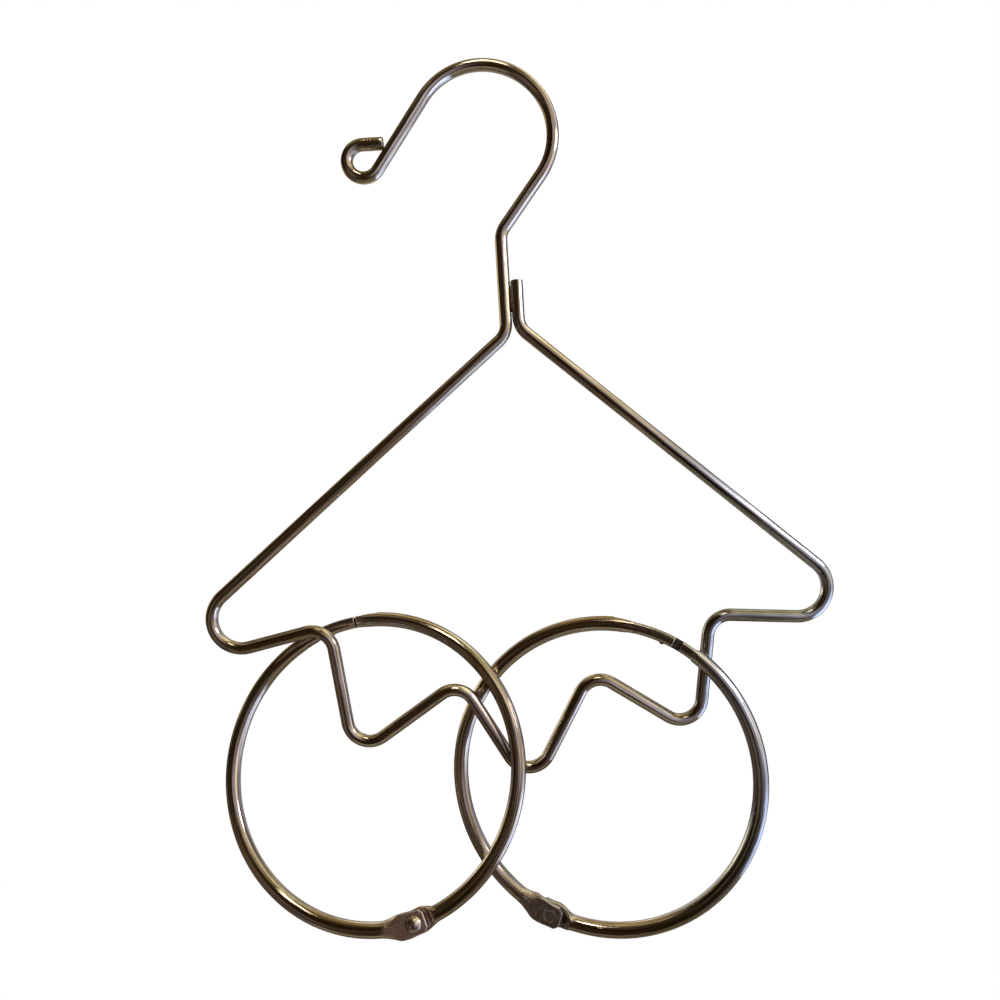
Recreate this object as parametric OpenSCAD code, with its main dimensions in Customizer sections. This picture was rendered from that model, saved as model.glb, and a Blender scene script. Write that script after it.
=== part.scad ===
// Scarf hanger: one bent wire with a hook, and two hinged split rings linked on its wavy bar.
// The origin is the seat of the hook, the top of its inside, where it rests on a rod.
// +Z is up, along the neck. +X is to the right, seen from the front. The wire's plane is Y = 0.
// A bend is given by its centre, a number to the right of the seat and a drop below it.

/* [Hanger wire] */
// Diameter of the hanger wire
wire_d = 3.4; // [2.8:0.1:3.8]
// Centreline radius of the bends of the neck and the wavy bar
bend_r = 6; // [5:0.5:7]
// Centreline radius of the two lower corners
corner_r = 8; // [6:0.5:10]
// Chamfer of the two sheared wire ends
end_chamfer = 0.3; // [0.1:0.1:0.6]
// Height of the faint mark that the tool leaves at each end of a bend and at the flattened clasp
tool_mark = 0.02; // [0.02:0.01:0.05]

/* [Hook] */
// Inside diameter of the hook, for the rod that it hangs on
hook_in_d = 34.6; // [32:0.2:38]
// Inside diameter of the eye curled at the tip of the hook
eye_in_d = 5.6; // [4.6:0.2:6.4]
// Centre of the eye, left of the seat
eye_reach = 32.5; // [32:0.5:36]
// Centre of the eye, below the seat
eye_drop = 22.5; // [20:0.5:26]
// Straight tail that closes the eye
tail_l = 5.6; // [3:0.2:5.8]

/* [Neck] */
// Centreline of the neck, right of the seat
neck_x = 3.4; // [1:0.2:6]
// Bend from the hook into the neck, below the seat
neck_drop = 46; // [44:0.5:50]
// Bend from the neck into the left shoulder, below the seat
left_shoulder_drop = 68.5; // [64:0.5:74]
// Bend from the right shoulder into the stub, below the seat
right_shoulder_drop = 67; // [64:0.5:74]
// Sheared top of the stub, below the seat
stub_drop = 57; // [54:0.5:60]
// Gap between the neck and the stub, filled by the weld
weld_gap = 0.1; // [0.1:0.05:0.5]
// Length of the weld along the neck
weld_l = 7; // [4:0.5:7.5]
// Thickness of the weld, front to back
weld_t = 1.6; // [1:0.1:2.2]

/* [Lower corners] */
// Left corner, left of the seat
left_corner_x = 72.5; // [68:0.5:84]
// Right corner, right of the seat
right_corner_x = 78; // [74:0.5:88]
// Both corners, below the seat
corner_drop = 144; // [138:0.5:150]

/* [Wavy bar, left to right] */
// First crest, left of the seat
crest_1_x = 54; // [52:0.5:57]
// First crest, below the seat
crest_1_drop = 154.5; // [152:0.5:158]
// First valley, left of the seat
valley_1_x = 39.5; // [36:0.5:41]
// First valley, below the seat
valley_1_drop = 173; // [170:0.5:178]
// Second crest, left of the seat
crest_2_x = 16.5; // [15:0.5:20]
// Second crest, below the seat
crest_2_drop = 172.5; // [170:0.5:174]
// Middle valley, right of the seat
valley_2_x = 3; // [1:0.5:5]
// Middle valley, below the seat
valley_2_drop = 182.5; // [179:0.5:188]
// Third crest, right of the seat
crest_3_x = 23; // [21:0.5:26]
// Third crest, below the seat
crest_3_drop = 172; // [170:0.5:174]
// Last valley, right of the seat
valley_3_x = 44.5; // [42:0.5:46]
// Last valley, below the seat
valley_3_drop = 172; // [169:0.5:177]
// Last crest, right of the seat
crest_4_x = 59; // [57.5:0.5:62]
// Last crest, below the seat
crest_4_drop = 156.5; // [154:0.5:159]

/* [Rings] */
// Inside diameter of a closed ring
ring_in_d = 76; // [72:1:78]
// Diameter of the ring wire
ring_wire_d = 4; // [3.6:0.1:4.4]

/* [Ring hinge] */
// Width of the flattened spade round the rivet
spade_w = 6.2; // [5.6:0.1:7]
// Reach of a spade past the rivet
spade_tip = 2.8; // [2.6:0.1:3.2]
// Length over which a spade narrows back to the wire
spade_taper = 6; // [5:0.5:7]
// Distance from the rivet to the round wire of the other half
shoulder_l = 5; // [4.6:0.1:5.6]
// Thickness of the two spades together
spade_pair_t = 3.8; // [3.2:0.1:4]
// Gap between the two spades
spade_gap = 0.1; // [0.05:0.05:0.2]
// Diameter of the rivet shank
rivet_d = 2.4; // [2:0.1:2.8]
// Diameter of the domed rivet head
head_d = 3.9; // [3.6:0.1:4.6]
// Height of the domed rivet head
head_h = 1.2; // [0.8:0.1:1.5]
// Diameter of the peened rivet end, flush with its spade
peen_d = 3.2; // [3:0.1:3.6]
// Depth of the peened end
peen_t = 0.6; // [0.4:0.1:0.9]

/* [Ring clasp] */
// Width of the clasp, across the ring wire
clasp_w = 2.9; // [2.6:0.1:3.2]
// Thickness of the clasp, front to back
clasp_t = 3.7; // [3.4:0.1:4]
// Reach of the front cheek past the middle of the clasp
front_lap = 6.5; // [5.5:0.5:7]
// Reach of the back lap past the middle of the clasp
back_lap = 3.8; // [3:0.2:5]
// Length of bare tongue between the back lap and the back cheek
bare_tongue = 2.2; // [1:0.2:3]
// Depth of the slot that takes the tongue, behind the back cheek's end
slot_l = 3.4; // [2.6:0.2:4]
// Thickness of the tongue
tongue_t = 1.1; // [0.9:0.1:1.3]
// Diameter of the catch tooth on the inside of the clasp
tooth_d = 1.6; // [1.2:0.1:2]
// Place of the catch tooth past the middle of the clasp
tooth_past = 0.9; // [0:0.1:1.8]

/* [Left ring, as it hangs] */
// Ring centre, left of the seat
left_x = 39.7; // [39:0.1:41]
// Ring centre, below the seat
left_drop = 186.4; // [185:0.2:188]
// Swivel about the vertical, the right side forward
left_swivel = 8; // [7:0.5:11]
// Lean, the top backward
left_lean = 16; // [14:0.5:18]
// Turn of the rivet away from the lowest point, to the right
left_roll = 18; // [0:1:30]

/* [Right ring, as it hangs] */
// Ring centre, right of the seat
right_x = 23.1; // [22:0.1:24]
// Ring centre, below the seat
right_drop = 191; // [189:0.2:193]
// Swivel about the vertical, the right side forward
right_swivel = 11.5; // [10:0.5:14]
// Lean, the top backward
right_lean = 6; // [4:0.5:8]
// Turn of the rivet away from the lowest point, to the left
right_roll = 24.5; // [0:0.5:30]

/* [Clearances] */
// Radial clearance between a rivet and its holes
rivet_clear = 0.04; // [0.02:0.01:0.08]
// Clearance of the clasp's sliding faces and of a rivet along its axis
slide_clear = 0.05; // [0.05:0.05:0.15]
// Gap at the seam of a closed clasp
seam_gap = 0.35; // [0.3:0.05:0.5]
// Gap between the right ring and the hanger wire that it lies on
seat_gap = 0.5; // [0.4:0.1:0.8]
// Gap between the left ring and the right ring that it lies on
ring_gap = 0.6; // [0.5:0.1:0.8]

/* [Hidden] */
$fn = 48;
plated_brown = "#6b5b45";
plated_olive = "#75694c";
bare_steel = "#a39a94";
weld_grey = "#4c443c";

left_turn = 1;
right_turn = -1;
hook_r = (hook_in_d + wire_d) / 2;
eye_r = (eye_in_d + wire_d) / 2;
stub_x = neck_x + wire_d + weld_gap;

tail_end = [tail_l - eye_reach, eye_r - eye_drop];
stub_end = [stub_x, -stub_drop];

// The bends from the eye to the stub: centre, centreline radius and the way that the wire turns
bends = [
    [-eye_reach, -eye_drop, eye_r, left_turn],
    [0, -hook_in_d / 2, hook_r, right_turn],
    [neck_x + bend_r, -neck_drop, bend_r, left_turn],
    [neck_x - bend_r, -left_shoulder_drop, bend_r, right_turn],
    [-left_corner_x, -corner_drop, corner_r, left_turn],
    [-crest_1_x, -crest_1_drop, bend_r, right_turn],
    [-valley_1_x, -valley_1_drop, bend_r, left_turn],
    [-crest_2_x, -crest_2_drop, bend_r, right_turn],
    [valley_2_x, -valley_2_drop, bend_r, left_turn],
    [crest_3_x, -crest_3_drop, bend_r, right_turn],
    [valley_3_x, -valley_3_drop, bend_r, left_turn],
    [crest_4_x, -crest_4_drop, bend_r, right_turn],
    [right_corner_x, -corner_drop, corner_r, left_turn],
    [stub_x + bend_r, -right_shoulder_drop, bend_r, right_turn]
];
stations = concat([[tail_end[0], tail_end[1], 0, 1]], bends, [[stub_end[0], stub_end[1], 0, 1]]);
straights = [for (i = [0 : len(stations) - 2]) straight(stations[i], stations[i + 1])];

mark_l = tool_mark * 10;

ring_r = (ring_in_d + ring_wire_d) / 2;
spade_t = (spade_pair_t - spade_gap) / 2;
slot_t = tongue_t + 2 * slide_clear;
root_l = 0.5;

// Angles at the ring's centre, for lengths along its centreline
shoulder_a = arc_angle(shoulder_l);
front_a = arc_angle(front_lap);
back_a = arc_angle(back_lap);
lip_a = arc_angle(back_lap + bare_tongue);
slot_a = arc_angle(back_lap + bare_tongue + slot_l);
tongue_a = arc_angle(back_lap + bare_tongue + slot_l - 2 * seam_gap);
flat_a = arc_angle(back_lap + bare_tongue + slot_l + ring_wire_d / 4);
seam_a = arc_angle(seam_gap);
past_a = arc_angle(root_l);
mark_a = arc_angle(mark_l);

// The right ring lies on the wire where it crosses the upright between the last valley and crest.
// The left ring lies on the right ring where they cross at the top, or on the middle valley.
wire_seat = (wire_d + ring_wire_d) / 2 + seat_gap;
right_seat_x = (valley_3_x + crest_4_x) / 2;
right_seat_z = sqrt(ring_r * ring_r - pow(right_seat_x - right_x, 2)) - right_drop;
right_y = -wire_seat - rise(right_swivel, right_lean, right_seat_x - right_x, right_seat_z + right_drop);
centre_gap = [right_x + left_x, left_drop - right_drop];
cross = [(right_x - left_x) / 2, -(left_drop + right_drop) / 2]
    + sqrt(ring_r * ring_r - centre_gap * centre_gap / 4) / norm(centre_gap) * [-centre_gap[1], centre_gap[0]];
right_cross_y = right_y + rise(right_swivel, right_lean, cross[0] - right_x, cross[1] + right_drop);
left_on_ring = right_cross_y - ring_wire_d - ring_gap
    - rise(left_swivel, left_lean, cross[0] + left_x, cross[1] + left_drop);
left_on_wire = -wire_seat - rise(left_swivel, left_lean, ring_r, left_drop - valley_2_drop - bend_r);
left_y = min(left_on_ring, left_on_wire);

function arc_angle(l) = l / ring_r * 180 / PI;

// How far a ring's plane lies behind its centre, at a place to the right of the centre and above it
function rise(swivel, lean, right, up) = tan(lean) / cos(swivel) * up - tan(swivel) * right;

// The straight wire between two bends, as its two ends and its heading
function straight(a, b) =
    let (gap = [b[0] - a[0], b[1] - a[1]])
    let (along = gap / norm(gap))
    let (tilt = asin((b[3] * b[2] - a[3] * a[2]) / norm(gap)))
    let (side = cos(tilt) * [-along[1], along[0]] + sin(tilt) * along)
    [
        [a[0], a[1]] - a[3] * a[2] * side,
        [b[0], b[1]] - b[3] * b[2] * side,
        atan2(-side[0], side[1])
    ];

// Turn of the wire at a bend, from the heading before it to the heading after it
function turn_at(i) = (bends[i][3] * (straights[i + 1][2] - straights[i][2]) + 720) % 360;

// Wire along a straight, drawn in the XY plane
module wire_straight(s) {
    translate([s[0][0], s[0][1], 0])
        rotate([0, 0, s[2]])
            rotate([0, 90, 0])
                cylinder(h = norm(s[1] - s[0]), d = wire_d);
}

// Part of a bend, drawn in the XY plane, between two angles counted from its start
module bend_arc(i, from, to, d) {
    b = bends[i];
    translate([b[0], b[1], 0])
        rotate([0, 0, straights[i][2] - 90 * b[3] + from * b[3]])
            rotate_extrude(angle = (to - from) * b[3])
                translate([b[2], 0])
                    circle(d = d);
}

// Wire round a bend, with the two tool marks that join it to the straights
module wire_bend(i) {
    turn = turn_at(i);
    lap_a = mark_l / bends[i][2] * 180 / PI;
    bend_arc(i, lap_a / 2, turn - lap_a / 2, wire_d);
    for (a = [0, turn])
        bend_arc(i, a - lap_a, a + lap_a, wire_d + 2 * tool_mark);
}

// The sheared and chamfered end of the wire, with its face at the origin, pointing along +Z
module wire_end() {
    cut = 2 * wire_d;
    translate([0, 0, -end_chamfer])
        difference() {
            cylinder(h = end_chamfer, d = cut);
            cylinder(h = end_chamfer, d1 = wire_d, d2 = wire_d - 2 * end_chamfer);
        }
}

module hanger_wire() {
    color(plated_brown)
        rotate([90, 0, 0])
            difference() {
                union() {
                    for (s = straights) wire_straight(s);
                    for (i = [0 : len(bends) - 1]) wire_bend(i);
                }
                translate([tail_end[0], tail_end[1], 0]) rotate([0, 90, 0]) wire_end();
                translate([stub_end[0], stub_end[1], 0]) rotate([-90, 0, 0]) wire_end();
            }
}

module neck_weld() {
    middle = (neck_x + stub_x) / 2;
    foot = max(left_shoulder_drop, right_shoulder_drop);
    color(weld_grey)
        difference() {
            translate([middle, 0, -right_shoulder_drop + (right_shoulder_drop - stub_drop) / 2])
                cube([wire_d / 2, weld_t, weld_l], center = true);
            for (x = [neck_x, stub_x])
                translate([x, 0, -foot])
                    cylinder(h = foot - stub_drop + weld_l, d = wire_d);
        }
}

// A stretch of ring with any section, between two angles counted from the top of the ring to the left
module ring_arc(from, to) {
    rotate([0, 0, 90 + from])
        rotate_extrude(angle = to - from)
            translate([ring_r, 0])
                children();
}

module round_section() {
    circle(d = ring_wire_d);
}

// What is pressed or cut off the round wire to leave the clasp between two heights
module around_clasp(low, high) {
    difference() {
        square(2 * ring_wire_d, center = true);
        translate([-clasp_w / 2, low]) square([clasp_w, high - low]);
    }
}

// A cut across the wire, between two heights
module slot_section(low, high) {
    translate([-ring_wire_d, low]) square([2 * ring_wire_d, high - low]);
}

// One flattened spade seen from the front, its wire arriving from the left, the rivet at the origin
module spade_outline() {
    root_x = shoulder_l + spade_taper;
    root_y = ring_r - sqrt(ring_r * ring_r - root_x * root_x);
    root = ring_wire_d / 2 - root_l;
    intersection() {
        circle(r = spade_w / 2 + root_l);
        translate([-spade_w, -spade_w / 2]) square([spade_w + spade_tip, spade_w]);
    }
    polygon([
        [0, spade_w / 2], [-spade_tip, spade_w / 2], [-root_x, root_y + root],
        [-root_x, root_y - root], [-spade_tip, -spade_w / 2], [0, -spade_w / 2]
    ]);
}

// A half's spade in front of the ring's middle plane, its wire arriving from the left, without its hole
module front_spade() {
    translate([0, -ring_r, spade_gap / 2])
        linear_extrude(spade_t)
            spade_outline();
}

module rivet_hole() {
    translate([0, -ring_r, -ring_wire_d])
        cylinder(h = 2 * ring_wire_d, d = rivet_d + 2 * rivet_clear);
}

module peen_cone(grow) {
    translate([0, -ring_r, -spade_pair_t / 2])
        cylinder(h = peen_t, d1 = peen_d + 2 * grow, d2 = rivet_d + 2 * grow);
}

// Half with the slotted socket: the left half, seen from the side of the rivet head
module socket_half() {
    color(plated_brown)
        difference() {
            union() {
                ring_arc(flat_a + mark_a / 2, 180 - shoulder_a) round_section();
                ring_arc(flat_a - mark_a, flat_a + mark_a) circle(d = ring_wire_d + 2 * tool_mark);
                difference() {
                    ring_arc(-front_a, flat_a - mark_a / 2) round_section();
                    ring_arc(-front_a - past_a, flat_a) around_clasp(-clasp_t / 2, clasp_t / 2);
                    ring_arc(-front_a - past_a, slot_a) slot_section(-slot_t / 2, slot_t / 2);
                    ring_arc(-front_a - past_a, lip_a) slot_section(-ring_wire_d, 0);
                }
                front_spade();
            }
            rivet_hole();
        }
}

// Half with the tongue: the right half, seen from the side of the rivet head
module tongue_half() {
    color(plated_olive)
        difference() {
            union() {
                difference() {
                    ring_arc(shoulder_a - 180, tongue_a) round_section();
                    ring_arc(-front_a - seam_a, tongue_a + past_a) around_clasp(-clasp_t / 2, tongue_t / 2);
                    ring_arc(back_a, tongue_a + past_a) slot_section(-ring_wire_d, -tongue_t / 2);
                }
                catch_tooth();
                rotate([0, 180, 0]) front_spade();
            }
            rivet_hole();
            peen_cone(slide_clear);
        }
}

// The round tooth that stands out on the inside of the tongue half's lap
module catch_tooth() {
    translate([-tooth_past, ring_r - clasp_w / 2, -tongue_t / 2])
        cylinder(h = tongue_t, d = tooth_d);
}

module ring_rivet() {
    dome_r = (head_d * head_d / 4 + head_h * head_h) / (2 * head_h);
    seat = spade_pair_t / 2 + slide_clear;
    color(bare_steel) {
        intersection() {
            translate([0, -ring_r, seat + head_h - dome_r]) sphere(r = dome_r);
            translate([0, -ring_r, seat]) cylinder(h = dome_r, d = 2 * head_d);
        }
        translate([0, -ring_r, -spade_pair_t / 2])
            cylinder(h = seat + spade_pair_t / 2, d = rivet_d);
        peen_cone(0);
    }
}

// Puts a ring part where the left ring hangs, rivet head to the front
module at_left() {
    translate([-left_x, left_y, -left_drop])
        rotate([90 - left_lean, 0, -left_swivel])
            rotate([0, 0, left_roll])
                children();
}

// Puts a ring part where the right ring hangs, turned over so that the rivet head is behind
module at_right() {
    translate([right_x, right_y, -right_drop])
        rotate([90 - right_lean, 0, -right_swivel])
            rotate([0, 0, -right_roll])
                rotate([0, 180, 0])
                    children();
}

hanger_wire();
neck_weld();
at_left() socket_half();  // left_ring_socket_half
at_left() tongue_half();  // left_ring_tongue_half
at_left() ring_rivet();  // left_ring_rivet
at_right() socket_half();  // right_ring_socket_half
at_right() tongue_half();  // right_ring_tongue_half
at_right() ring_rivet();  // right_ring_rivet
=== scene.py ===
import math

import bmesh
import bpy
import numpy as np
from mathutils import Matrix, Vector


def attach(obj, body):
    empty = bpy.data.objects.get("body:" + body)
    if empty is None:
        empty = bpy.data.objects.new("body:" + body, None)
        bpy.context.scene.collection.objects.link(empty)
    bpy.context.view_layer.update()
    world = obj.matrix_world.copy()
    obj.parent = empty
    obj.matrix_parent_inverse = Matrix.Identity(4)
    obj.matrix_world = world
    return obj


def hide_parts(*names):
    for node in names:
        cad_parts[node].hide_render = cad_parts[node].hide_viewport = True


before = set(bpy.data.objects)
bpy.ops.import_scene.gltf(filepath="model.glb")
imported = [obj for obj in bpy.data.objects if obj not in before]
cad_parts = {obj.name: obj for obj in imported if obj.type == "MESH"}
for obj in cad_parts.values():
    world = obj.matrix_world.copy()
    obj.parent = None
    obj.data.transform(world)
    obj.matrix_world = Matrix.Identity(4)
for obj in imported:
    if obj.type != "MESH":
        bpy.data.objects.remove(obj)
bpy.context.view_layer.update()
mm = 0.001
print("frame loaded")


# camera, close to the hanger and turned a little, as it was for the photograph
cameraValues = {
    "place": (-0.93, -216.2, -115.98), "roll": 3.3, "lens": 28.8, "sensor": 36.0, "nearest": 5.0,
}

roll = math.radians(cameraValues["roll"])
cameraData = bpy.data.cameras.new("camera")
cameraData.lens = cameraValues["lens"]
cameraData.sensor_width = cameraValues["sensor"]
cameraData.clip_start = cameraValues["nearest"] * mm
camera = bpy.data.objects.new("camera", cameraData)
cameraRight = Vector((math.cos(roll), 0, -math.sin(roll)))
cameraUp = Vector((math.sin(roll), 0, math.cos(roll)))
cameraTurn = Matrix((cameraRight, cameraUp, Vector((0, -1, 0)))).transposed()
camera.matrix_world = Matrix.Translation(Vector(cameraValues["place"]) * mm) @ cameraTurn.to_4x4()
bpy.context.scene.collection.objects.link(camera)
bpy.context.scene.camera = camera
bpy.context.scene.view_settings.view_transform = "Standard"
print("camera set")


class Link:
    # an output socket that takes part in Python expressions
    def __init__(self, nodes, socket):
        self.nodes = nodes
        self.socket = socket

    def sum(self, operation, first, second):
        return self.nodes.add("Math", {"operation": operation}, {0: first, 1: second})

    def __add__(self, other): return self.sum("ADD", self, other)
    def __radd__(self, other): return self.sum("ADD", other, self)
    def __sub__(self, other): return self.sum("SUBTRACT", self, other)
    def __rsub__(self, other): return self.sum("SUBTRACT", other, self)
    def __mul__(self, other): return self.sum("MULTIPLY", self, other)
    def __rmul__(self, other): return self.sum("MULTIPLY", other, self)


class Nodes:
    # makes any shader node of one tree
    def __init__(self, tree):
        self.tree = tree
        tree.nodes.clear()

    def add(self, kind, settings=None, inputs=None, out=0):
        node = self.tree.nodes.new("ShaderNode" + kind)
        for key, value in (settings or {}).items():
            setattr(node, key, value)
        for key, value in (inputs or {}).items():
            socket = node.inputs[key]
            if isinstance(value, Link):
                self.tree.links.new(value.socket, socket)
            else:
                socket.default_value = (*value, 1) if socket.type == "RGBA" else value
        return Link(self, node.outputs[out]) if len(node.outputs) else None

    def mix(self, factor, first, second, blend="MIX"):
        settings = {"data_type": "RGBA", "blend_type": blend}
        return self.add("Mix", settings, {0: factor, 6: first, 7: second}, out=2)

    def vector(self, operation, first, second):
        return self.add("VectorMath", {"operation": operation}, {0: first, 1: second})

    def smooth(self, value, low, high):
        settings = {"interpolation_type": "SMOOTHSTEP"}
        return self.add("MapRange", settings, {0: value, 1: low, 2: high})

    def noise(self, place, scale, detail, rough):
        inputs = {"Vector": place, "Scale": scale, "Detail": detail, "Roughness": rough}
        return self.add("TexNoise", {}, inputs)

    def grain(self, flow, stretch, detail, rough):
        # noise that lies along the wire: flow counts millimetres along, across and over it
        return self.noise(self.vector("MULTIPLY", flow, stretch), 1.0, detail, rough)


# wire meshes
def smoothStep(low, high, value):
    t = np.clip((np.asarray(value, float) - low) / (high - low), 0, 1)
    return t * t * (3 - 2 * t)


def wobble(along, lengths, seed):
    # a smooth irregularity between about -1 and 1, made of a few slow waves
    phases = np.random.default_rng(seed).uniform(0, 2 * math.pi, len(lengths))
    waves = [np.sin(along * 2 * math.pi / length + phase) for length, phase in zip(lengths, phases)]
    return sum(waves) / len(lengths)


def roundSection(radius, around):
    turn = np.linspace(0, 2 * math.pi, around, endpoint=False)
    return np.stack([radius * np.cos(turn), radius * np.sin(turn)], axis=-1)


def sameAround(values, around):
    # one value for each row, the same all round it
    return np.repeat(np.array(values)[:, None], around, axis=1)


def sweepMesh(name, shells, place=None, sharpAngle=38):
    # each shell is a closed skin with n rows of m points: centre, across and over (n x 3),
    # section (n x m x 2), along (n) and the finish, pressed (n x m)
    verts, faces, flow, pressed = [], [], [], []
    count = 0
    for shell in shells:
        section = shell["section"]
        rows, around = section.shape[:2]
        points = (shell["centre"][:, None]
                  + section[..., :1] * shell["across"][:, None]
                  + section[..., 1:] * shell["over"][:, None])
        verts.append(points.reshape(-1, 3))
        along = np.broadcast_to(shell["along"][:, None, None], (rows, around, 1))
        flow.append(np.concatenate([along, section], axis=2).reshape(-1, 3))
        pressed.append(shell["pressed"].reshape(-1))
        for i in range(rows - 1):
            a, b = count + i * around, count + (i + 1) * around
            for j in range(around):
                k = (j + 1) % around
                faces.append((a + j, a + k, b + k, b + j))
        faces.append(tuple(count + j for j in reversed(range(around))))
        faces.append(tuple(count + (rows - 1) * around + j for j in range(around)))
        count += rows * around
    mesh = bpy.data.meshes.new(name)
    mesh.from_pydata((np.concatenate(verts) * mm).tolist(), [], faces)
    flowData = mesh.attributes.new("flow", "FLOAT_VECTOR", "POINT").data
    flowData.foreach_set("vector", np.concatenate(flow).astype(np.float32).ravel())
    pressedData = mesh.attributes.new("pressed", "FLOAT", "POINT").data
    pressedData.foreach_set("value", np.concatenate(pressed).astype(np.float32))
    if place is not None:
        mesh.transform(place)
    fixed = bmesh.new()
    fixed.from_mesh(mesh)
    bmesh.ops.recalc_face_normals(fixed, faces=fixed.faces)
    fixed.to_mesh(mesh)
    fixed.free()
    mesh.shade_smooth()
    mesh.set_sharp_from_angle(angle=math.radians(sharpAngle))
    piece = bpy.data.objects.new(name, mesh)
    bpy.context.scene.collection.objects.link(piece)
    return piece


# the finish of a row or point: 0 drawn wire, 1 pressed flat, 2 sheared face painted near black as
# shade, -1 edge painted bright as a highlight
flatFinish, recessShadeFinish, bareFinish = 1.0, 2.0, -1.0


# hanger wire, the same chain of bends as in the solid model, in millimetres
wireValues = {
    "diameter": 3.4, "hookInside": 34.6, "eyeInside": 5.6, "eyeMiddle": (-32.5, -22.5),
    "tail": 5.6, "neckX": 3.4, "neckTop": -46.0, "neckFoot": -68.5, "weldGap": 0.1,
    "stubTop": -57.0, "stubFoot": -67.0, "bendRadius": 6.0, "cornerRadius": 8.0,
    "leftCorner": (-72.5, -144.0), "rightCorner": (78.0, -144.0),
    "wave": [(-54.0, -154.5), (-39.5, -173.0), (-16.5, -172.5), (3.0, -182.5), (23.0, -172.0),
             (44.5, -172.0), (59.0, -156.5)],
    "around": 40, "step": 0.9, "bendFineness": 1.6,
    "ovality": 0.03, "bulge": 0.3, "unevenness": 0.012, "waves": (7, 11, 17, 31), "seed": 4,
    # sheared ends, each row with its finish: first shares of the chamfer back and in, then
    # millimetres back and a share of the radius
    "chamfer": 0.3,
    "rolled": [(1.0, 0.0, 0.2), (0.45, 0.18, 0.5), (0.12, 0.55, 0.9), (0.0, 1.0, 1.0)],
    "dished": [(0.0, 0.72, 1.0), (0.05, 0.4, 1.0), (0.07, 0.12, 1.0)],
}


def hangerBends(v):
    # each bend: its middle x and z, its radius, and which way the wire turns there
    eyeX, eyeZ = v["eyeMiddle"]
    eye = (v["eyeInside"] + v["diameter"]) / 2
    hook = (v["hookInside"] + v["diameter"]) / 2
    bend, corner, neck = v["bendRadius"], v["cornerRadius"], v["neckX"]
    stub = neck + v["diameter"] + v["weldGap"]
    left, right = 1, -1
    wave = [(x, z, bend, left if i % 2 else right) for i, (x, z) in enumerate(v["wave"])]
    return [
        (eyeX + v["tail"], eyeZ + eye, 0, left), (eyeX, eyeZ, eye, left),
        (0, -v["hookInside"] / 2, hook, right),
        (neck + bend, v["neckTop"], bend, left), (neck - bend, v["neckFoot"], bend, right),
        (*v["leftCorner"], corner, left), *wave, (*v["rightCorner"], corner, left),
        (stub + bend, v["stubFoot"], bend, right), (stub, v["stubTop"], 0, left),
    ]


def tangent(a, b):
    # the straight that joins two bends: its two ends and its heading
    gap = np.array([b[0] - a[0], b[1] - a[1]])
    ahead = gap / np.linalg.norm(gap)
    tilt = math.asin((b[3] * b[2] - a[3] * a[2]) / np.linalg.norm(gap))
    side = math.cos(tilt) * np.array([-ahead[1], ahead[0]]) + math.sin(tilt) * ahead
    first = np.array(a[:2]) - a[3] * a[2] * side
    last = np.array(b[:2]) - b[3] * b[2] * side
    return first, last, math.atan2(-side[0], side[1])


def hangerPath(v):
    # places on the wire's middle line, its heading there, and how bent it is from 0 to 1
    bends = hangerBends(v)
    lines = [tangent(a, b) for a, b in zip(bends, bends[1:])]
    places, headings, bent = [], [], []
    for i, (first, last, heading) in enumerate(lines):
        for t in np.linspace(0, 1, max(3, int(np.linalg.norm(last - first) / v["step"]))):
            places.append(first + (last - first) * t)
            headings.append(heading)
            bent.append(0)
        if i + 1 < len(lines):
            x, z, radius, side = bends[i + 1]
            turn = (side * (lines[i + 1][2] - heading)) % (2 * math.pi)
            rows = max(6, int(turn * radius / v["step"] * v["bendFineness"]))
            for t in np.linspace(0, 1, rows)[1:-1]:
                angle = heading + side * turn * t
                outward = np.array([-math.sin(angle), math.cos(angle)])
                places.append(np.array([x, z]) - side * radius * outward)
                headings.append(angle)
                bent.append(math.sin(math.pi * t) ** 0.5)
    return np.array(places), np.array(headings), np.array(bent)


def shearedEnd(v, shell, i, ahead, sign):
    # the rolled edge and the dished face that close the wire at row i
    chamfer, radius = v["chamfer"], v["diameter"] / 2
    rolled = [(chamfer * back, 1 - chamfer * into / radius, cut) for back, into, cut in v["rolled"]]
    back, share, cut = np.array(rolled + v["dished"]).T
    end = {
        "centre": shell["centre"][i] + sign * back[:, None] * ahead,
        "across": np.tile(shell["across"][i], (len(back), 1)),
        "over": np.tile(shell["over"][i], (len(back), 1)),
        "section": shell["section"][i] * share[:, None, None],
        "along": shell["along"][i] + sign * back,
        "pressed": sameAround(cut, v["around"]),
    }
    return {key: rows[::-sign] for key, rows in end.items()}


def hangerWire(v):
    places, headings, bent = hangerPath(v)
    along = np.concatenate([[0], np.cumsum(np.linalg.norm(np.diff(places, axis=0), axis=1))])
    rows, radius = len(along), v["diameter"] / 2
    uneven = 1 + v["unevenness"] / radius * wobble(along, v["waves"], v["seed"])
    section = np.repeat(roundSection(radius, v["around"])[None], rows, axis=0)
    section[..., 0] *= (uneven * (1 - v["ovality"] * bent))[:, None]
    section[..., 1] *= (uneven * (1 + v["bulge"] * v["ovality"] * bent))[:, None]
    shell = {
        "centre": np.stack([places[:, 0], 0 * along, places[:, 1]], axis=1),
        "across": np.stack([-np.sin(headings), 0 * along, np.cos(headings)], axis=1),
        "over": np.tile([0.0, -1.0, 0.0], (rows, 1)),
        "section": section, "along": along, "pressed": np.zeros((rows, v["around"])),
    }
    ahead = np.stack([np.cos(headings), 0 * along, np.sin(headings)], axis=1)
    tip = shearedEnd(v, shell, 0, ahead[0], 1)
    stub = shearedEnd(v, shell, -1, ahead[-1], -1)
    wire = {key: np.concatenate([tip[key], shell[key][1:-1], stub[key]]) for key in shell}
    return sweepMesh("wireOfHanger", [wire])


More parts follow.
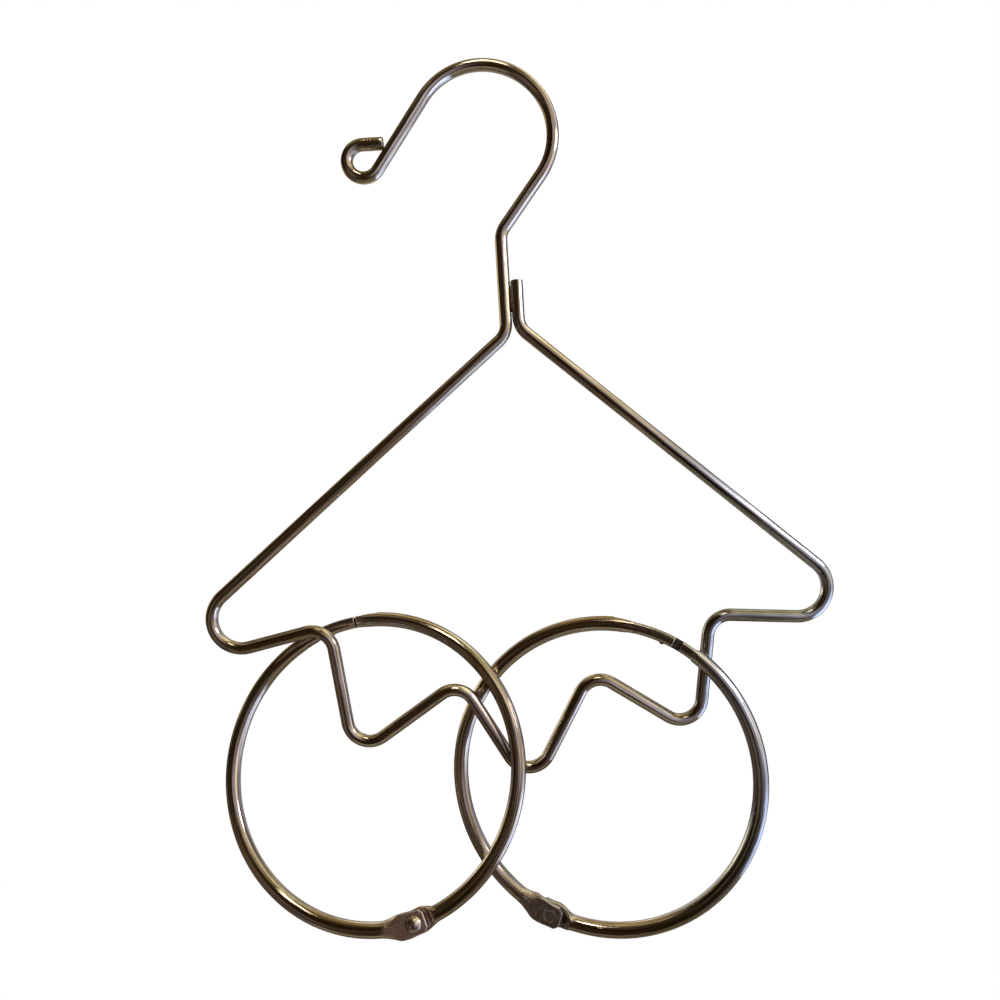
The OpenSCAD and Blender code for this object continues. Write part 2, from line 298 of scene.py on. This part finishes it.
hangerPiece = hangerWire(wireValues)
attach(hangerPiece, "hanger")
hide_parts("hanger_wire")
print("hanger wire bent")


# weld between the neck and the stub, a run of small beads
weldValues = {
    "middle": (5.15, 0.0, -62.0), "length": 7.0, "width": 1.5, "depth": 1.7,
    "around": 28, "rows": 61, "beads": 4, "beadHeight": 0.1, "fullness": 0.6,
    "unevenness": 0.03, "waves": (0.13, 0.21, 0.37), "seed": 9,
}


def neckWeld(v):
    along = np.linspace(-0.5, 0.5, v["rows"])
    beads = v["beadHeight"] * np.abs(np.sin(math.pi * v["beads"] * (along + 0.5)))
    ripple = 1 + beads + v["unevenness"] * wobble(along, v["waves"], v["seed"])
    swell = np.sqrt(np.clip(1 - (2 * along) ** 2, 0.001, 1)) ** v["fullness"]
    section = roundSection(1.0, v["around"])[None] * swell[:, None, None] * ripple[:, None, None]
    shell = {
        "centre": np.array(v["middle"]) + along[:, None] * np.array([0, 0, v["length"]]),
        "across": np.tile([1.0, 0, 0], (v["rows"], 1)),
        "over": np.tile([0, -1.0, 0], (v["rows"], 1)),
        "section": section * np.array([v["width"] / 2, v["depth"] / 2]),
        "along": along * v["length"], "pressed": np.ones((v["rows"], v["around"])),
    }
    return sweepMesh("beadOfWeld", [shell])


weldPiece = neckWeld(weldValues)
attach(weldPiece, "hanger")
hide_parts("neck_weld")
print("neck welded")


# hinged rings: distances along a ring count from its clasp, and its rivet is half way round
ringValues = {
    "middleRadius": 40.0, "wire": 2.0, "around": 48, "step": 0.8, "fine": 0.3, "coarse": 1.5,
    "unevenness": 0.006, "waves": (9, 14, 23, 41), "squareness": 0.72, "flatEdge": 6.0,
    "sideGloss": 0.3, "glossEdge": 3.0,
    # the clasp: two cheeks with a slot between them, and the tongue with its catch tooth
    "claspWidth": 2.9, "claspThick": 3.7, "claspShift": 0.25, "frontLap": 6.5, "backLap": 3.8,
    "bareTongue": 2.2, "slotLength": 3.4, "slotThick": 1.2, "tongueThick": 1.1, "seam": 0.55,
    "flatStart": 0.5, "flatRun": 1.0, "tongueRun": 6.0, "inlaid": 0.3, "crisp": 0.16,
    "bevel": 0.14, "bevelShare": 0.92, "cutShare": 0.86, "barStart": 0.25, "barRows": 14,
    # the bare tongue's finish paints it darker, a painted shade inside the clasp
    "cheekFinish": 0.35, "tongueShadeFinish": 1.5,
    "toothWidth": 1.6, "toothPast": 0.9, "toothIn": 0.1, "toothRound": 0.12, "toothFinish": 0.6,
    # the spades at the hinge: the near one of each ring widens earlier than the far one
    "spadeHalf": 3.15, "spadeTip": 3.1, "spadeRound": 3.55, "spadeStart": 9.2, "spadeFull": 3.0,
    "farStart": 6.4, "farFull": 1.2, "taper": 0.3, "taperStart": 2.5, "taperStop": 1.5,
    "rampStart": 5.6, "rampStop": 3.4, "squareStart": 7.1, "squareStop": 3.0, "faceRun": 1.5,
    "pairThick": 3.8, "spadeGap": 0.1,
    # sheared spade tip: millimetres past its edge, share of the section, 1 if torn, and finish; the
    # finish paints its edge bright as a highlight
    "tornShare": 0.01,
    "tip": [(0.10, 0.985, 1, bareFinish), (0.22, 0.94, 1, bareFinish), (0.27, 0.86, 1, bareFinish),
            (0.27, 0.45, 0, flatFinish), (0.25, 0.1, 0, flatFinish)],
}


def ringShell(v, along, section, pressed):
    angle = along / v["middleRadius"]
    outward = np.stack([-np.sin(angle), np.cos(angle), 0 * angle], axis=1)
    return {"centre": outward * v["middleRadius"], "across": outward, "section": section,
            "over": np.tile([0, 0, 1.0], (len(along), 1)), "along": along, "pressed": pressed}


def turns(v):
    return np.linspace(0, 2 * math.pi, v["around"], endpoint=False)


def superRound(value, power):
    # a sine or cosine squared up: the lower the power, the more a circle looks like a box
    return np.sign(value) * np.abs(value) ** power


def facing(v):
    # 1 on the flat faces of a section, 0 on its sides, so that the sides keep their gloss
    return np.clip((np.abs(np.sin(turns(v))) - v["sideGloss"]) * v["glossEdge"], 0, 1)


def forged(v, along, shape, limits):
    # round wire pressed to a half width and a height range, with flats where it is limited
    turn = turns(v)[None]
    half, low, high, square, flatX, flatZ = (
        np.broadcast_to(value.reshape(-1, 1), (len(along), 1)) for value in (*shape, *limits))
    power = 1 - v["squareness"] * square
    x = half * superRound(np.cos(turn), power)
    z = (high + low) / 2 + (high - low) / 2 * superRound(np.sin(turn), power)
    shift, edge = v["claspShift"], v["flatEdge"]
    pressed = (np.clip((np.abs(x + shift) - flatX) * edge, 0, 1)
               + np.clip((np.abs(z) - flatZ) * edge, 0, 1) + square * facing(v))
    x = np.clip(x, -flatX - shift, flatX - shift)
    z = np.clip(z, -flatZ, flatZ)
    return np.stack([x, z], axis=-1), np.clip(pressed, 0, 1)


def spadeShape(v, fromRivet, front, near):
    # half width, low, high and squareness at distances before (negative) and past the rivet
    wire, pair = v["wire"], v["pairThick"] / 2
    start, full = (v["spadeStart"], v["spadeFull"]) if near else (v["farStart"], v["farFull"])
    half = wire + (v["spadeHalf"] - wire) * smoothStep(-start, -full, fromRivet)
    half -= v["taper"] * smoothStep(-v["taperStart"], v["taperStop"], fromRivet)
    half = np.minimum(half, np.sqrt(v["spadeRound"] ** 2 - np.maximum(fromRivet, 0) ** 2))
    outer = wire - (wire - pair) * smoothStep(-v["spadeStart"], -v["spadeFull"], fromRivet)
    ramp = smoothStep(-v["rampStart"], -v["rampStop"], fromRivet)
    inner = -wire + (wire + v["spadeGap"] / 2) * ramp
    square = smoothStep(-v["squareStart"], -v["squareStop"], fromRivet)
    return (half, inner, outer, square) if front else (half, -outer, -inner, square)


def shearTip(v, along, section, pressed, sign, seed):
    # the last section drawn in a little as it goes past its edge, then filled
    middle = section[-1].mean(axis=0)
    rough = v["tornShare"] * np.random.default_rng(seed).normal(size=(section.shape[1], 1))
    ahead, share, torn, finish = np.array(v["tip"]).T
    drawnIn = [middle + (section[-1] - middle) * part * (1 + tear * rough)
               for part, tear in zip(share, torn)]
    return (np.concatenate([along, along[-1] + sign * ahead]), np.concatenate([section, drawnIn]),
            np.concatenate([pressed, sameAround(finish, v["around"])]))


def halfRing(v, along, sign, near, flat, seed):
    # one half from beside the clasp to its spade's tip: sign 1 is the socket half, in front
    fromRivet = sign * along - math.pi * v["middleRadius"]
    shape = spadeShape(v, fromRivet, sign > 0, near)
    limits = [np.where(flat > 0, v["wire"] - (v["wire"] - size / 2) * flat, np.inf)
              for size in (v["claspWidth"], v["claspThick"])]
    section, pressed = forged(v, along, shape, limits)
    uneven = 1 + v["unevenness"] * wobble(along, v["waves"], seed) * (1 - shape[3])
    section = section * uneven[:, None, None]
    if near:
        face = smoothStep(-v["spadeStart"], v["faceRun"] - v["spadeStart"], fromRivet)
        pressed = np.maximum(pressed, face[:, None] * facing(v))
    # the tongue half's end face at the seam is painted near black, a painted shade in the seam
    if sign < 0:
        pressed[0] = recessShadeFinish
    return ringShell(v, *shearTip(v, along, section, pressed, sign, seed))


def ladder(v, *stops):
    # stations along the ring, fine after a stop where the shape changes and coarser elsewhere
    rows = []
    for (a, changing), (b, _) in zip(stops, stops[1:]):
        step = v["step"] * (v["fine"] if changing else v["coarse"])
        rows.append(np.linspace(a, b, max(2, int(abs(b - a) / step) + 1))[:-1])
    return np.concatenate(rows + [[stops[-1][0]]])


def claspBar(v, start, stop, low, high, finish):
    # a cheek or the tongue: eased edges, bevels painted bright as a highlight and sheared ends
    # painted near black as shade
    sign = 1 if stop > start else -1
    bevel, into = sign * v["bevel"], sign * v["barStart"]
    cutEnd = [(0, v["cutShare"], recessShadeFinish), (0, v["bevelShare"], bareFinish),
              (bevel, 1.0, bareFinish)]
    rows = [(start + back, share, cut) for back, share, cut in cutEnd]
    rows += [(along, 1.0, finish) for along in np.linspace(start + into, stop - into, v["barRows"])]
    rows += [(stop - back, share, cut) for back, share, cut in reversed(cutEnd)]
    middle = (low + high) / 2
    x = superRound(np.cos(turns(v)), v["crisp"]) * v["claspWidth"] / 2 - v["claspShift"]
    z = superRound(np.sin(turns(v)), v["crisp"]) * (high - low) / 2 + middle
    square = np.stack([x, z], axis=-1)
    reach = np.linalg.norm(square, axis=-1, keepdims=True)
    square = np.where(reach > v["wire"], square * v["wire"] / reach, square)
    centre = np.array([-v["claspShift"], middle])
    section = np.stack([centre + (square - centre) * share for _, share, _ in rows])
    return ringShell(v, np.array([row[0] for row in rows]), section,
                     sameAround([row[2] for row in rows], v["around"]))


def catchTooth(v):
    # a short round peg with a rounded edge, on the inner side of the lap
    high = v["tongueThick"] / 2
    height = np.array([-high, v["toothRound"] - high, high - v["toothRound"], high])
    radii = v["toothWidth"] / 2 * np.array([v["cutShare"], 1.0, 1.0, v["cutShare"]])
    inner = v["middleRadius"] - v["claspWidth"] / 2 + v["toothIn"]
    return {
        "centre": np.stack([0 * height - v["toothPast"], 0 * height + inner, height], axis=1),
        "across": np.tile([1.0, 0, 0], (4, 1)), "over": np.tile([0, 1.0, 0], (4, 1)),
        "section": np.stack([roundSection(radius, v["around"]) for radius in radii]),
        "along": height, "pressed": np.full((4, v["around"]), v["toothFinish"]),
    }


def socketHalf(name, v, place, near, seed):
    mouth = v["backLap"] + v["bareTongue"]
    root = mouth + v["slotLength"]
    flatStop = root + v["flatStart"]
    rivet = math.pi * v["middleRadius"]
    along = ladder(v, (root, True), (flatStop + v["flatRun"] + 1, False),
                   (rivet - v["spadeStart"] - 1, True), (rivet + v["spadeTip"] - v["bevel"], True))
    flat = smoothStep(flatStop + v["flatRun"], flatStop, along)
    body = halfRing(v, along, 1, near, flat, seed)
    thick, slot, cheekFinish = v["claspThick"] / 2, v["slotThick"] / 2, v["cheekFinish"]
    front = claspBar(v, root + v["inlaid"], -v["frontLap"], slot, thick, cheekFinish)
    back = claspBar(v, root + v["inlaid"], mouth, -thick, -slot, cheekFinish)
    return sweepMesh(name, [body, front, back], place)


def tongueHalf(name, v, place, near, seed):
    root = v["backLap"] + v["bareTongue"] + v["slotLength"]
    shoulder = -v["frontLap"] - v["seam"]
    rivet = math.pi * v["middleRadius"]
    along = ladder(v, (shoulder, True), (shoulder - v["tongueRun"] - 1, False),
                   (v["spadeStart"] - rivet + 1, True), (v["bevel"] - rivet - v["spadeTip"], True))
    flat = smoothStep(shoulder - v["tongueRun"], shoulder, along)
    body = halfRing(v, along, -1, near, flat, seed)
    thick, inlaid = v["tongueThick"] / 2, v["inlaid"]
    lap = claspBar(v, shoulder - inlaid, v["backLap"], -v["wire"], thick, v["cheekFinish"])
    reach = root - 2 * v["seam"]
    bare = claspBar(v, v["backLap"] - inlaid, reach, -thick, thick, v["tongueShadeFinish"])
    return sweepMesh(name, [body, lap, bare, catchTooth(v)], place)


rivetValues = {
    "shank": 1.2, "headRadius": 2.15, "headHeight": 1.2, "seat": 1.95, "peenRadius": 1.7,
    # the dome's last row is painted a little darker, part of the painted shadow round the head
    "around": 64, "domeRows": 16, "poleShare": 0.02, "shoulder": 0.6, "domeEdgeShade": 0.3,
    # the head's rim: share of its radius, height over the seat and finish; its dark finish is a
    # painted shadow where the head meets the seat
    "rim": [(1.0, 0.1, 1.5), (0.985, 0.02, 1.0), (0.96, 0.0, 1.0)],
    # the peened end with its rolled lip: share of its radius, height over the flat and finish; the
    # lip's finish is a painted highlight, and the hollow and flat inside it are painted dark as
    # shade
    "peen": [(1.0, 0.0, bareFinish), (1.0, -0.06, bareFinish), (0.93, -0.1, bareFinish),
             (0.82, -0.08, bareFinish), (0.72, 0.03, recessShadeFinish), (0.4, 0.06, flatFinish),
             (0.03 / 1.7, 0.05, flatFinish)],
}


def ringRivet(name, v, rings, place):
    # turned about its own axis: domed head, rim, shank and peened end
    head, seat, under = v["headRadius"], v["seat"], -rings["pairThick"] / 2
    dome = (head ** 2 + v["headHeight"] ** 2) / (2 * v["headHeight"])
    shares = np.linspace(v["poleShare"], 1, v["domeRows"])[:-1]
    rows = [(head * t, seat + v["headHeight"] - dome + math.sqrt(dome ** 2 - (head * t) ** 2),
             v["domeEdgeShade"] if t == shares[-1] else 0.0) for t in shares]
    rows += [(head * share, seat + height, cut) for share, height, cut in v["rim"]]
    rows += [(v["shank"], seat, flatFinish), (v["shank"], under + v["shoulder"], flatFinish)]
    rows += [(v["peenRadius"] * share, under + height, cut) for share, height, cut in v["peen"]]
    centre = np.array([[0, -rings["middleRadius"], height] for _, height, _ in rows])
    shell = {
        "centre": centre, "along": centre[:, 2],
        "across": np.tile([1.0, 0, 0], (len(rows), 1)),
        "over": np.tile([0, 1.0, 0], (len(rows), 1)),
        "section": np.stack([roundSection(radius, v["around"]) for radius, _, _ in rows]),
        "pressed": sameAround([cut for _, _, cut in rows], v["around"]),
    }
    return sweepMesh(name, [shell], place)


# where each ring hangs: its middle, and its lean, swivel and roll in degrees
ringPlaces = {
    "left": {"middle": (-39.7, 1.1496, -186.4), "lean": 16.0, "swivel": 8.0, "roll": 18.0,
             "turnedOver": False},
    "right": {"middle": (23.1, -1.3650, -191.0), "lean": 6.0, "swivel": 11.5, "roll": -24.5,
              "turnedOver": True},
}


def ringPlace(v):
    hung = Matrix.Rotation(math.radians(-v["swivel"]), 4, "Z")
    leant = Matrix.Rotation(math.radians(90 - v["lean"]), 4, "X")
    rolled = Matrix.Rotation(math.radians(v["roll"]), 4, "Z")
    over = Matrix.Rotation(math.pi if v["turnedOver"] else 0, 4, "Y")
    return Matrix.Translation(Vector(v["middle"]) * mm) @ (hung @ leant @ rolled @ over)


ringPieces = {}
for seed, (side, placeValues) in enumerate(ringPlaces.items()):
    place = ringPlace(placeValues)
    socket = socketHalf(side + "RingSocketHalf", ringValues, place, side == "left", 20 + seed)
    tongue = tongueHalf(side + "RingTongueHalf", ringValues, place, side == "right", 30 + seed)
    rivet = ringRivet(side + "RingRivet", rivetValues, ringValues, place)
    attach(socket, side + "_ring_gate")
    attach(tongue, side + "_ring")
    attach(rivet, side + "_ring")
    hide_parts(side + "_ring_socket_half")
    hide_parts(side + "_ring_tongue_half")
    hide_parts(side + "_ring_rivet")
    ringPieces[side] = (socket, tongue, rivet)
print("rings forged")


def newMaterial(name):
    material = bpy.data.materials.new(name)
    material.use_nodes = True
    n = Nodes(material.node_tree)
    return material, n, n.add("Attribute", {"attribute_name": "flow"}, out=1)


def steelSurface(n, colour, roughness, bump, rim=(1.0, 1.0, 1.0)):
    inputs = {"Base Color": colour, "Metallic": 1.0, "Roughness": roughness, "Normal": bump,
              "Specular Tint": rim}
    n.add("OutputMaterial", {}, {"Surface": n.add("BsdfPrincipled", {}, inputs)})


# plated steel: each grain is stretched by its numbers along, across and over the wire, and
# each range gives the noise values between which a tone comes in
platedValues = {
    "plate": (0.50, 0.43, 0.355), "tarnish": (0.36, 0.30, 0.19), "mauve": (0.44, 0.36, 0.335),
    # the light and dark streak colours are a painted highlight and painted shade, reflections
    # painted along the drawing lines
    "streakHighlight": (0.86, 0.80, 0.77), "paintedShade": (0.17, 0.12, 0.075), "freckle": (0.45, 0.38, 0.33),
    "bare": (0.80, 0.75, 0.70), "recessShade": (0.025, 0.018, 0.012), "rim": (0.18, 0.14, 0.10),
    "drawn": (0.025, 1.7, 1.7), "fine": (0.06, 5.5, 5.5), "cloud": (0.08, 0.35, 0.35),
    "speck": (1.2, 1.6, 1.6), "scuff": (2.2, 0.8, 0.8), "reflectionStreak": (0.015, 2.1, 2.1),
    "cloudRange": (0.38, 0.66), "cloudShare": 0.7, "mauveRange": (0.30, 0.44), "mauveShare": 0.6,
    "speckRange": (0.60, 0.74), "speckShare": 0.5, "scuffRange": (0.52, 0.62), "scuffShare": 0.35,
    "streakHighlightRange": (0.52, 0.60), "streakHighlightShare": 0.7, "streakShadeRange": (0.47, 0.39), "streakShadeShare": 0.8,
    "pressedShare": 0.85, "bareRange": (-0.2, -0.8), "bareShare": 0.8, "recessShadeRange": (1.1, 1.8),
    "rough": 0.05, "drawnRough": 0.05, "flatRough": 0.34, "bareRough": 0.3, "cloudRough": 0.04,
    "lineDepth": 0.16, "lineStrength": 0.8,
    # the right end of the object is painted cooler and brighter, a painted reflection of bluish
    # light from the right, from and to these metres
    "coolReflectionRange": (0.034, 0.060), "coolReflectionPlate": (0.46, 0.48, 0.49),
    "coolReflectionTarnish": (0.21, 0.21, 0.20), "coolReflectionHighlight": (0.85, 0.89, 0.92),
    # the pressed flats of the two like rings are a lit and a shaded copy of one colour: light on
    # the left ring, dark on the right
    "pressedHanger": (0.30, 0.235, 0.18), "litPressedLeft": (0.66, 0.48, 0.42),
    "shadedPressedRight": (0.27, 0.22, 0.20),
}


def platedMetal(name, v, pressedColour):
    # lines drawn along the wire with light and dark streaks that are a painted reflection, cloudy
    # tarnish, a right end painted cooler as a reflection, duller pressed flats, edges painted
    # bright as a highlight, and seam faces painted near black as shade
    material, n, flow = newMaterial(name)
    pressed = n.add("Attribute", {"attribute_name": "pressed"}, out=2)
    drawn = n.grain(flow, v["drawn"], 3, 0.6)
    fine = n.grain(flow, v["fine"], 2, 0.6)
    cloud = n.grain(flow, v["cloud"], 3, 0.55)
    speck = n.grain(flow, v["speck"], 4, 0.7)
    scuff = n.grain(flow, v["scuff"], 4, 0.65)
    reflectionStreak = n.grain(flow, v["reflectionStreak"], 3, 0.65)
    clouded = n.smooth(cloud, *v["cloudRange"])
    x = n.add("SeparateXYZ", {}, {0: n.add("TexCoord", out="Object")}, "X")
    # the right end painted cooler and brighter, a painted reflection of bluish light
    coolReflection = n.smooth(x, *v["coolReflectionRange"])
    flat = n.add("Math", {"operation": "ADD", "use_clamp": True}, {0: pressed, 1: 0.0})
    # edges with a negative finish, which are painted bright as a highlight
    bare = n.smooth(pressed, *v["bareRange"])
    colour = n.mix(clouded * v["cloudShare"], v["plate"], v["tarnish"])
    mauve = (1 - n.smooth(cloud, *v["mauveRange"])) * v["mauveShare"]
    colour = n.mix(mauve, colour, v["mauve"])
    coolReflectedColour = n.mix(clouded * v["cloudShare"], v["coolReflectionPlate"], v["coolReflectionTarnish"])
    colour = n.mix(coolReflection, colour, coolReflectedColour)
    freckled = n.smooth(speck, *v["speckRange"]) * v["speckShare"]
    colour = n.mix(freckled, colour, v["freckle"], "MULTIPLY")
    # light and dark streaks along the drawing lines, a painted highlight and painted shade that
    # stand in for reflections
    streakHighlight = n.mix(coolReflection, v["streakHighlight"], v["coolReflectionHighlight"])
    colour = n.mix(n.smooth(reflectionStreak, *v["streakHighlightRange"]) * v["streakHighlightShare"], colour, streakHighlight)
    colour = n.mix(n.smooth(reflectionStreak, *v["streakShadeRange"]) * v["streakShadeShare"], colour, v["paintedShade"])
    colour = n.mix(flat * v["pressedShare"], colour, pressedColour)
    scratched = n.smooth(scuff, *v["scuffRange"]) * flat * v["scuffShare"]
    colour = n.mix(scratched, colour, v["bare"])
    # sheared faces in the clasp's seam and slot are painted near black, a painted shade in the
    # recess
    colour = n.mix(n.smooth(pressed, *v["recessShadeRange"]), colour, v["recessShade"])
    # edges painted in the pale bare-metal colour, a painted highlight
    colour = n.mix(bare * v["bareShare"], colour, v["bare"])
    roughness = (v["rough"] + n.smooth(drawn, 0.4, 0.7) * v["drawnRough"] + flat * v["flatRough"]
                 + bare * v["bareRough"] + clouded * v["cloudRough"])
    height = drawn * 0.8 + fine * 0.2 + flat * scuff * 0.8
    depth = {"Strength": v["lineStrength"], "Distance": v["lineDepth"] * mm, "Height": height}
    # the rim colour tints the metal's reflection at grazing angles dark brown, a painted shade
    # along the edges of the wire
    steelSurface(n, colour, roughness, n.add("Bump", {}, depth), v["rim"])
    return material


rivetSteelValues = {
    "steel": (0.62, 0.56, 0.50), "dull": (0.44, 0.36, 0.29), "paintedShade": (0.12, 0.095, 0.08),
    "bare": (0.95, 0.90, 0.85), "worn": (1.6, 1.1, 1.1), "rough": 0.14, "wornRough": 0.25,
    "depth": 0.02, "strength": 0.5,
}


def rivetMetal(name, v):
    # turned steel, with painted shade on its flat faces, its rim and the hollow of its peened end,
    # and a painted highlight in patches on the peened lip
    material, n, flow = newMaterial(name)
    pressed = n.add("Attribute", {"attribute_name": "pressed"}, out=2)
    worn = n.grain(flow, v["worn"], 4, 0.6)
    colour = n.mix(n.smooth(worn, 0.35, 0.65), v["steel"], v["dull"])
    # flat faces, the rim and the peened hollow painted dark as shade
    colour = n.mix(n.smooth(pressed, 0.2, 1.0), colour, v["paintedShade"])
    # the peened lip painted bright in patches as a highlight
    paintedLipHighlight = n.smooth(pressed, -0.2, -0.8) * n.smooth(worn, 0.46, 0.54)
    colour = n.mix(paintedLipHighlight, colour, v["bare"])
    depth = {"Strength": v["strength"], "Distance": v["depth"] * mm, "Height": worn}
    steelSurface(n, colour, worn * v["wornRough"] + v["rough"], n.add("Bump", {}, depth))
    return material


weldScaleValues = {
    "metal": (0.21, 0.165, 0.125), "scale": (0.10, 0.075, 0.055), "burnt": (2.0, 1.5, 1.5),
    "rough": 0.3, "scaleRough": 0.3, "depth": 0.08, "strength": 0.8,
}


def weldMetal(name, v):
    # darker metal with patches of scale
    material, n, flow = newMaterial(name)
    burnt = n.grain(flow, v["burnt"], 4, 0.65)
    colour = n.mix(n.smooth(burnt, 0.35, 0.7), v["metal"], v["scale"])
    depth = {"Strength": v["strength"], "Distance": v["depth"] * mm, "Height": burnt}
    steelSurface(n, colour, burnt * v["scaleRough"] + v["rough"], n.add("Bump", {}, depth))
    return material


rivetSkin = rivetMetal("rivetSteel", rivetSteelValues)
# the left ring's plating is a lit copy and the right ring's a shaded copy of one plating
ringPlating = {
    "left": platedMetal("leftRingLitPlating", platedValues, platedValues["litPressedLeft"]),
    "right": platedMetal("rightRingShadedPlating", platedValues, platedValues["shadedPressedRight"]),
}
hangerPlating = platedMetal("hangerPlating", platedValues, platedValues["pressedHanger"])
hangerPiece.data.materials.append(hangerPlating)
weldPiece.data.materials.append(weldMetal("weldScale", weldScaleValues))
for side, (socket, tongue, rivet) in ringPieces.items():
    socket.data.materials.append(ringPlating[side])
    tongue.data.materials.append(ringPlating[side])
    rivet.data.materials.append(rivetSkin)
print("plating done")


# stage: a pale floor under the hanging object and a white card far behind it, in metres
stageValues = {
    "floorDrop": 1.1, "floorHalf": 0.8, "cardBack": 3.0, "cardHalf": 2.25, "cardHeight": -0.116,
    "paper": (0.50, 0.48, 0.46), "white": (1.0, 1.0, 1.0),
}
cornerSigns = [(-1, -1), (1, -1), (1, 1), (-1, 1)]


def stageSheet(name, corners, v, white):
    mesh = bpy.data.meshes.new(name)
    mesh.from_pydata(corners, [], [(0, 1, 2, 3)])
    sheet = bpy.data.objects.new(name, mesh)
    bpy.context.scene.collection.objects.link(sheet)
    material = bpy.data.materials.new(name)
    material.use_nodes = True
    n = Nodes(material.node_tree)
    paper = n.add("BsdfDiffuse", {}, {"Color": v["paper"]})
    if white:
        rays = ("Is Camera Ray", "Is Glossy Ray", "Is Transmission Ray")
        seen, mirrored, through = (n.add("LightPath", out=ray) for ray in rays)
        glow = n.add("Emission", {}, {"Color": v["white"], "Strength": 1.0})
        paper = n.add("MixShader", {}, {0: seen + mirrored + through, 1: paper, 2: glow})
    n.add("OutputMaterial", {}, {"Surface": paper})
    mesh.materials.append(material)


def dressStage(v):
    floor, card = v["floorHalf"], v["cardHalf"]
    stageSheet("floor", [(a * floor, b * floor, -v["floorDrop"]) for a, b in cornerSigns], v, False)
    stageSheet("card", [(a * card, v["cardBack"], v["cardHeight"] + b * card)
                        for a, b in cornerSigns], v, True)


dressStage(stageValues)


# soft studio surroundings, lit panels in a dim warm room: azimuth from the camera's side
# towards the right, elevation, half width, half height and softness, all in degrees, and
# the colour that each adds
surroundValues = {
    "room": (0.085, 0.066, 0.048),
    "panels": [
        (62, 0, 44, 52, 18, (0.56, 0.56, 0.60)),
        (92, -34, 44, 18, 8, (0.46, 0.70, 1.00)),
        (0, 80, 190, 26, 12, (0.46, 0.41, 0.27)),
        (-145, 24, 34, 22, 10, (0.98, 0.98, 0.94)),
        (95, 56, 34, 12, 8, (0.30, 0.29, 0.26)),
        (112, 4, 22, 30, 10, (0.16, 0.24, 0.36)),
        (122, 50, 30, 18, 10, (0.24, 0.32, 0.44)),
    ],
    "patches": 1.1, "patchRange": (0.38, 0.62),
    "patchDark": (0.30, 0.25, 0.19), "patchBright": (1.80, 1.85, 1.90),
    "hues": 1.6, "hueShift": (3.0, 1.0, 5.0), "hueRise": 0.18, "hueRange": (0.38, 0.52),
    "gold": (1.10, 1.00, 0.68), "lilac": (1.00, 0.96, 1.12),
}


def band(n, angle, middle, half, soft):
    # 1 within half of the middle angle, with a soft edge
    off = n.add("Math", {"operation": "ABSOLUTE"}, {0: angle - math.radians(middle)})
    return n.smooth(off, math.radians(half + soft), math.radians(half - soft))


def surroundings(v):
    # plain walls and panels with furniture-like patches, which a bright wire shows as streaks
    world = bpy.data.worlds.new("surroundings")
    bpy.context.scene.world = world
    world.use_nodes = True
    n = Nodes(world.node_tree)
    ahead = n.add("TexCoord", out="Generated")
    x, y, z = (n.add("SeparateXYZ", {}, {0: ahead}, axis) for axis in "XYZ")
    azimuth = n.add("Math", {"operation": "ARCTAN2"}, {0: x, 1: 0 - y})
    elevation = n.add("Math", {"operation": "ARCSINE"}, {0: z})
    colour = v["room"]
    for towards, height, wide, tall, soft, tone in v["panels"]:
        lit = band(n, azimuth, towards, wide, soft) * band(n, elevation, height, tall, soft)
        colour = n.vector("ADD", colour, n.mix(lit, (0, 0, 0), tone))
    patch = n.smooth(n.noise(ahead, v["patches"], 0, 0.5), *v["patchRange"])
    patch = n.mix(patch, v["patchDark"], v["patchBright"])
    hue = n.noise(n.vector("ADD", ahead, v["hueShift"]), v["hues"], 1, 0.5) - z * v["hueRise"]
    hue = n.mix(n.smooth(hue, *v["hueRange"]), v["gold"], v["lilac"])
    colour = n.vector("MULTIPLY", colour, n.vector("MULTIPLY", patch, hue))
    sky = n.add("Background", {}, {"Color": colour, "Strength": 1.0})
    n.add("OutputWorld", {}, {"Surface": sky})


# lamps round the object's middle: angles in degrees, distances and sizes in metres
lampValues = {
    "aim": (0.0, 0.0, -0.115),
    "lamps": [
        {"name": "rightLamp", "azimuth": 68, "elevation": 22, "distance": 0.9, "size": 0.26,
         "power": 1.2, "colour": (1.0, 0.97, 0.95)},
        {"name": "topLamp", "azimuth": 5, "elevation": 58, "distance": 1.0, "size": 0.26,
         "power": 1.0, "colour": (1.0, 0.93, 0.80)},
    ],
}


def softLamp(v, aim):
    lampData = bpy.data.lights.new(v["name"], "AREA")
    lampData.shape = "DISK"
    lampData.size = v["size"]
    lampData.energy = v["power"]
    lampData.color = v["colour"]
    lamp = bpy.data.objects.new(v["name"], lampData)
    a, e = math.radians(v["azimuth"]), math.radians(v["elevation"])
    towards = Vector((math.sin(a) * math.cos(e), -math.cos(a) * math.cos(e), math.sin(e)))
    turn = towards.to_track_quat("Z", "Y").to_matrix().to_4x4()
    lamp.matrix_world = Matrix.Translation(Vector(aim) + towards * v["distance"]) @ turn
    bpy.context.scene.collection.objects.link(lamp)


for lampValue in lampValues["lamps"]:
    softLamp(lampValue, lampValues["aim"])
surroundings(surroundValues)
print("stage lit")
